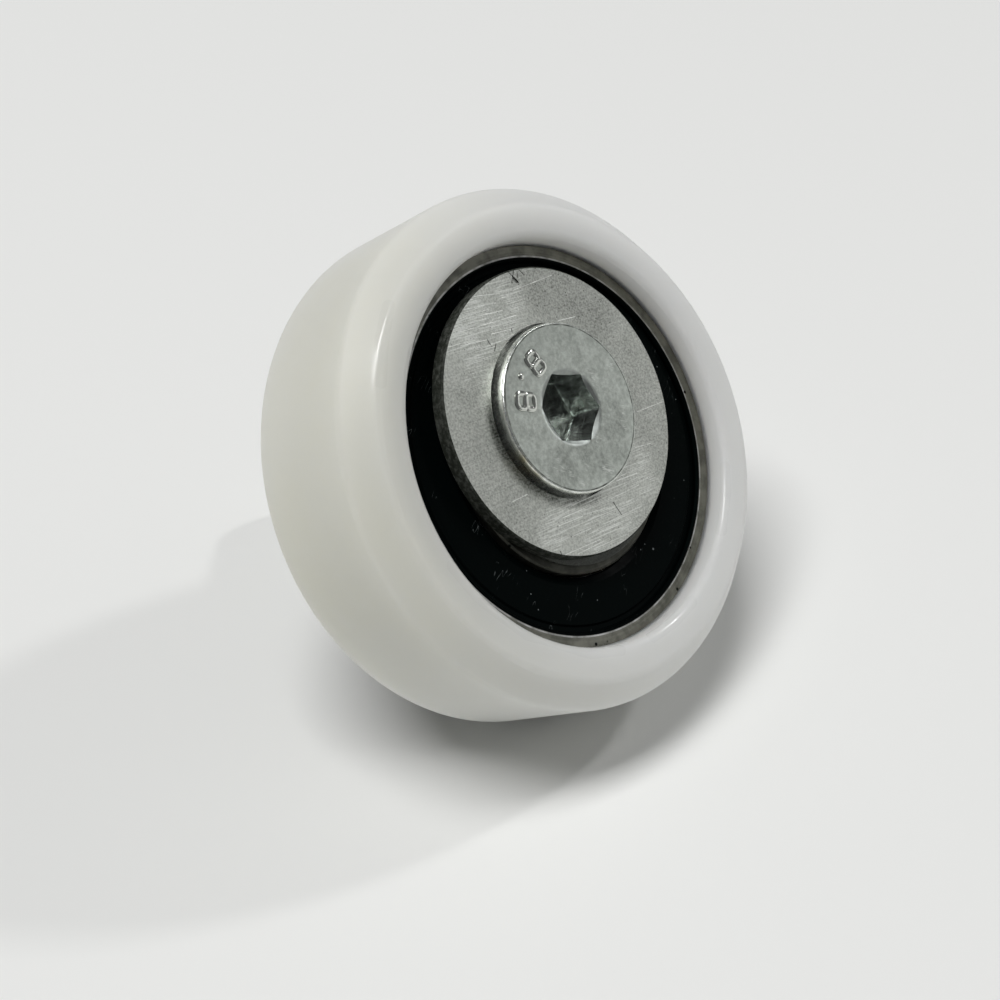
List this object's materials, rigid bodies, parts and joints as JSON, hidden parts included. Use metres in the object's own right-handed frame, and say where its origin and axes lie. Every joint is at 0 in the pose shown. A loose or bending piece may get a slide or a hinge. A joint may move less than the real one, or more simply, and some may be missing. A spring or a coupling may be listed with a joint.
{
  "type": "eccentric roller wheel",
  "caption": "Off-white moulded roller on a sealed ball bearing, carried by an eccentric bush and a low-head socket screw, for a sliding door that is set by turning the eccentric.",
  "frame": {"origin": "middle of the tread's width, on the wheel's axis", "axes": "+Y along the wheel's axis towards the threaded end, so -Y is the visible front; +Z from the wheel's axis towards the screw's axis, which is the eccentric's index mark"},
  "size_m": [0.04, 0.0367, 0.04],
  "materials": {
    "nylon": "satin, slightly translucent",
    "bearing_steel": "ground, oiled",
    "seal_rubber": "smooth, dusty",
    "cage_nylon": "moulded, natural",
    "ball_steel": "polished",
    "bush_steel": "scratched, zinc plated",
    "screw_steel": "zinc plated"
  },
  "bodies": {
    "screw": {"socket_screw": "screw_steel"},
    "eccentric": {"eccentric_bush": "bush_steel", "rear_spacer": "bush_steel", "bearing_inner_ring": "bearing_steel"},
    "wheel": {"roller_wheel": "nylon", "bearing_outer_ring": "bearing_steel", "front_seal": "seal_rubber", "rear_seal": "seal_rubber"},
    "cage": {"ball_cage": "cage_nylon"},
    "rolling_ball_1": {"ball_1": "ball_steel"},
    "rolling_ball_2": {"ball_2": "ball_steel"},
    "rolling_ball_3": {"ball_3": "ball_steel"},
    "rolling_ball_4": {"ball_4": "ball_steel"},
    "rolling_ball_5": {"ball_5": "ball_steel"},
    "rolling_ball_6": {"ball_6": "ball_steel"},
    "rolling_ball_7": {"ball_7": "ball_steel"},
    "rolling_ball_8": {"ball_8": "ball_steel"},
    "rolling_ball_9": {"ball_9": "ball_steel"}
  },
  "joints": [
    {"name": "eccentric_adjust", "type": "hinge", "parent": "screw", "child": "eccentric", "pos_m": [0, 0, 0.0024], "axis": [0, 1, 0], "continuous": true},
    {"name": "wheel_spin", "type": "hinge", "parent": "eccentric", "child": "wheel", "pos_m": [0, 0, 0], "axis": [0, 1, 0], "continuous": true},
    {"name": "cage_orbit", "type": "hinge", "parent": "eccentric", "child": "cage", "pos_m": [0, 0, 0], "axis": [0, 1, 0], "continuous": true},
    {"name": "ball_1_spin", "type": "hinge", "parent": "cage", "child": "rolling_ball_1", "pos_m": [0, -0.00075, 0.01175], "axis": [0, 1, 0], "continuous": true},
    {"name": "ball_2_spin", "type": "hinge", "parent": "cage", "child": "rolling_ball_2", "pos_m": [-0.00755, -0.00075, 0.009], "axis": [0, 1, 0], "continuous": true},
    {"name": "ball_3_spin", "type": "hinge", "parent": "cage", "child": "rolling_ball_3", "pos_m": [-0.01157, -0.00075, 0.00204], "axis": [0, 1, 0], "continuous": true},
    {"name": "ball_4_spin", "type": "hinge", "parent": "cage", "child": "rolling_ball_4", "pos_m": [-0.01018, -0.00075, -0.00588], "axis": [0, 1, 0], "continuous": true},
    {"name": "ball_5_spin", "type": "hinge", "parent": "cage", "child": "rolling_ball_5", "pos_m": [-0.00402, -0.00075, -0.01104], "axis": [0, 1, 0], "continuous": true},
    {"name": "ball_6_spin", "type": "hinge", "parent": "cage", "child": "rolling_ball_6", "pos_m": [0.00402, -0.00075, -0.01104], "axis": [0, 1, 0], "continuous": true},
    {"name": "ball_7_spin", "type": "hinge", "parent": "cage", "child": "rolling_ball_7", "pos_m": [0.01018, -0.00075, -0.00588], "axis": [0, 1, 0], "continuous": true},
    {"name": "ball_8_spin", "type": "hinge", "parent": "cage", "child": "rolling_ball_8", "pos_m": [0.01157, -0.00075, 0.00204], "axis": [0, 1, 0], "continuous": true},
    {"name": "ball_9_spin", "type": "hinge", "parent": "cage", "child": "rolling_ball_9", "pos_m": [0.00755, -0.00075, 0.009], "axis": [0, 1, 0], "continuous": true}
  ],
  "couplings": [
    {"joint": "cage_orbit", "follows": "wheel_spin", "ratio": 0.60132},
    {"joint": "ball_1_spin", "follows": "wheel_spin", "ratio": 2.3661},
    {"joint": "ball_2_spin", "follows": "wheel_spin", "ratio": 2.3661},
    {"joint": "ball_3_spin", "follows": "wheel_spin", "ratio": 2.3661},
    {"joint": "ball_4_spin", "follows": "wheel_spin", "ratio": 2.3661},
    {"joint": "ball_5_spin", "follows": "wheel_spin", "ratio": 2.3661},
    {"joint": "ball_6_spin", "follows": "wheel_spin", "ratio": 2.3661},
    {"joint": "ball_7_spin", "follows": "wheel_spin", "ratio": 2.3661},
    {"joint": "ball_8_spin", "follows": "wheel_spin", "ratio": 2.3661},
    {"joint": "ball_9_spin", "follows": "wheel_spin", "ratio": 2.3661}
  ]
}
